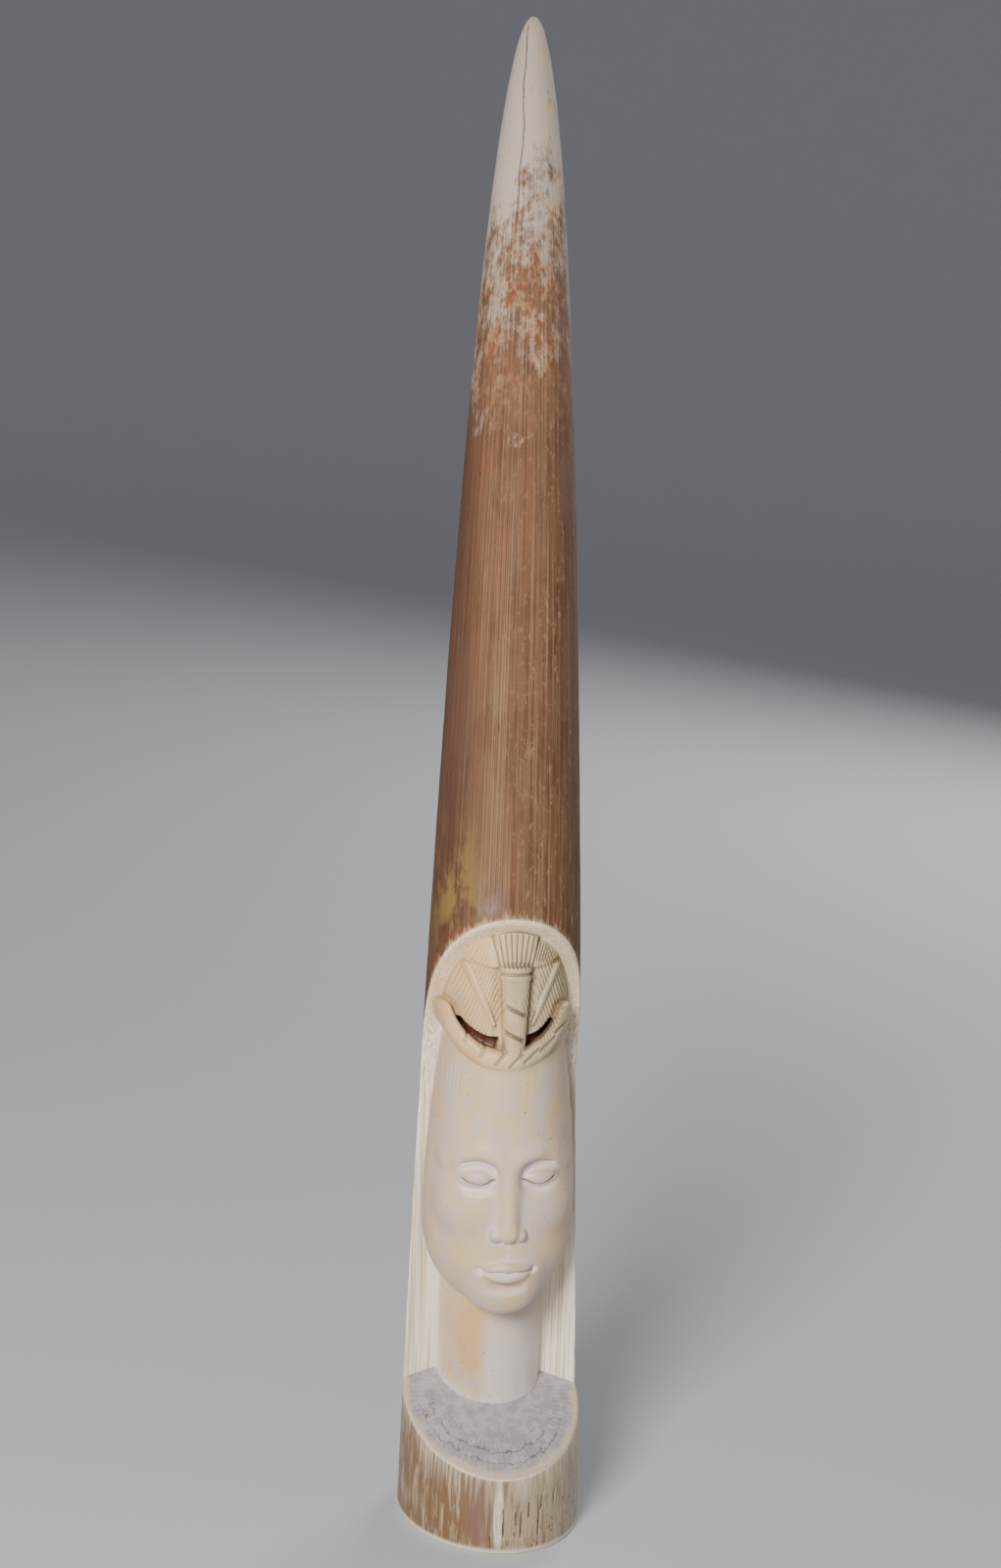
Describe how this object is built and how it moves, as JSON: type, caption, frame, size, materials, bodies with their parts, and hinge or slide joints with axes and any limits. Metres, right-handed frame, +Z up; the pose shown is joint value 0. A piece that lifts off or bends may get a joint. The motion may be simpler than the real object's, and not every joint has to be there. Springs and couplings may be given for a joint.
{
  "type": "carved mammoth tusk",
  "caption": "Curved tapering tusk standing on its sawn base, with a head, neck and headdress carved in relief in its lower front.",
  "frame": {"origin": "where the tusk's axis meets the flat sawn base", "axes": "+Z up from the base; the carved face looks along -Y; the tip curves back towards +Y and leans to -X"},
  "size_m": [0.1134, 0.2257, 0.6928],
  "materials": {
    "ivory": "polished cream ivory where carved, brown striated bark on the outer surface above the carving"
  },
  "bodies": {
    "root": {"carved_tusk": "ivory"}
  },
  "joints": []
}
